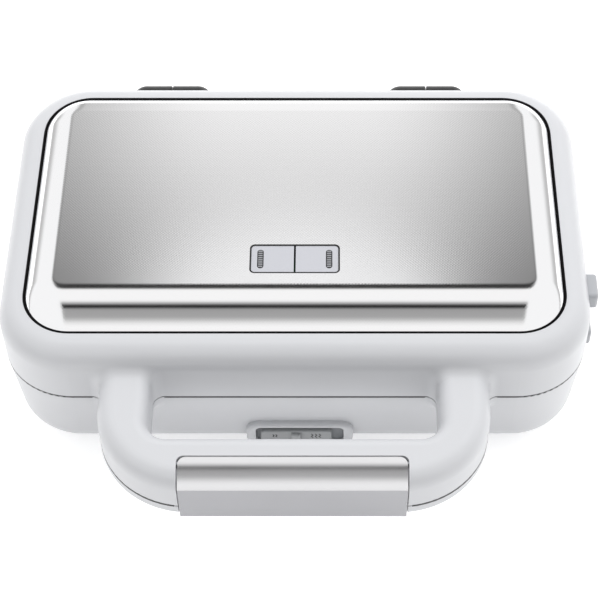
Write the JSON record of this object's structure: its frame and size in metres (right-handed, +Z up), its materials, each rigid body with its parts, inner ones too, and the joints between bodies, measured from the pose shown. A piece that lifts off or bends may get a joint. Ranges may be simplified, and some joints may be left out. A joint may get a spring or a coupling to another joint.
{
  "type": "sandwich toaster",
  "caption": "Electric sandwich toaster: hinged lid over a tapered base, pressed steel top, loop handle with latch clip, diagonal-cut cooking plates, side release buttons and heat selector.",
  "frame": {"origin": "middle of the footprint on the worktop, handle, hinges and side buttons included", "axes": "+X to the right seen from the handle, +Y away from the handle towards the hinges, +Z up"},
  "size_m": [0.3074, 0.2782, 0.097],
  "materials": {
    "white_housing": "smooth white moulded plastic, soft gloss",
    "pressed_steel": "pressed steel sheet, fine cross texture on top, polished rolled edge",
    "latch_metal": "brushed along its length",
    "black_gasket": "matt",
    "black_plastic": "heat-resistant moulded plastic, fine grain",
    "grey_plastic": "satin moulded plastic",
    "light_grey_plastic": "satin moulded plastic",
    "indicator_tile": "smooth",
    "indicator_lens": "ribbed translucent plastic, unlit",
    "coated_plate": "cast plate with dark non-stick coating",
    "reflector_sheet": "bright rolled sheet",
    "element_tube": "heat-tinted steel tube",
    "plain_steel": "bright zinc plated",
    "spring_steel": "oiled spring wire",
    "foot_rubber": "matt",
    "gland_rubber": "matt",
    "wire_sleeve": "heat-resistant sleeving",
    "board_green": "circuit board",
    "ceramic_body": "unglazed"
  },
  "bodies": {
    "base": {"base_housing": "white_housing", "base_cover": "white_housing", "lower_plate_frame": "black_plastic", "lower_cooking_plate": "coated_plate", "lower_reflector": "reflector_sheet", "lower_heating_element": "element_tube", "lower_element_clamps": "plain_steel", "base_frame_screws": "plain_steel", "cover_screws": "plain_steel", "base_hinge_screws": "plain_steel", "lower_release_spring": "spring_steel", "left_base_knuckle": "black_plastic", "right_base_knuckle": "black_plastic", "left_hinge_pin": "plain_steel", "right_hinge_pin": "plain_steel", "latch_keeper": "spring_steel", "selector_bezel": "grey_plastic", "selector_switch": "black_plastic", "rubber_feet": "foot_rubber", "cord_gland": "gland_rubber", "thermostat": "ceramic_body", "thermal_fuse": "ceramic_body", "terminal_block": "light_grey_plastic", "base_wiring": "wire_sleeve"},
    "lid": {"lid_housing": "white_housing", "handle_cover": "white_housing", "handle_cover_screws": "plain_steel", "lid_panel": "pressed_steel", "panel_gasket": "black_gasket", "indicator_frame": "black_plastic", "left_indicator_tile": "indicator_tile", "right_indicator_tile": "indicator_tile", "power_lens": "indicator_lens", "ready_lens": "indicator_lens", "indicator_board": "board_green", "upper_plate_frame": "black_plastic", "lid_frame_screws": "plain_steel", "upper_cooking_plate": "coated_plate", "upper_heating_element": "element_tube", "upper_reflector": "reflector_sheet", "upper_element_clamps": "plain_steel", "lid_wiring": "wire_sleeve", "left_lid_knuckle": "black_plastic", "right_lid_knuckle": "black_plastic", "lid_hinge_screws": "plain_steel", "latch_pin": "plain_steel", "latch_spring": "spring_steel", "upper_release_spring": "spring_steel"},
    "latch": {"latch_clip": "latch_metal"},
    "upper_release": {"upper_release_button": "light_grey_plastic", "upper_release_slide": "grey_plastic"},
    "lower_release": {"lower_release_button": "light_grey_plastic", "lower_release_slide": "grey_plastic"},
    "selector": {"selector_knob": "grey_plastic", "selector_carriage": "grey_plastic"}
  },
  "joints": [
    {"name": "lid_hinge", "type": "hinge", "parent": "base", "child": "lid", "pos_m": [-0.0025, 0.12907, 0.0565], "axis": [-1, 0, 0], "range_deg": [0, 105], "deforming": ["latch_keeper"]},
    {"name": "latch_pivot", "type": "hinge", "parent": "lid", "child": "latch", "pos_m": [-0.0025, -0.12637, 0.0742], "axis": [-1, 0, 0], "range_deg": [0, 32], "stiffness_Nm_per_rad": 0.06, "springref_deg": -8.59, "deforming": ["latch_spring"]},
    {"name": "upper_release_push", "type": "slide", "parent": "lid", "child": "upper_release", "axis": [-1, 0, 0], "range_m": [0, 0.0035], "stiffness_N_per_m": 400, "springref_m": -0.003, "deforming": ["upper_release_spring"]},
    {"name": "lower_release_push", "type": "slide", "parent": "base", "child": "lower_release", "axis": [-1, 0, 0], "range_m": [0, 0.0035], "stiffness_N_per_m": 400, "springref_m": -0.003, "deforming": ["lower_release_spring"]},
    {"name": "selector_slide", "type": "slide", "parent": "base", "child": "selector", "axis": [1, 0, 0], "range_m": [0, 0.0055]}
  ]
}
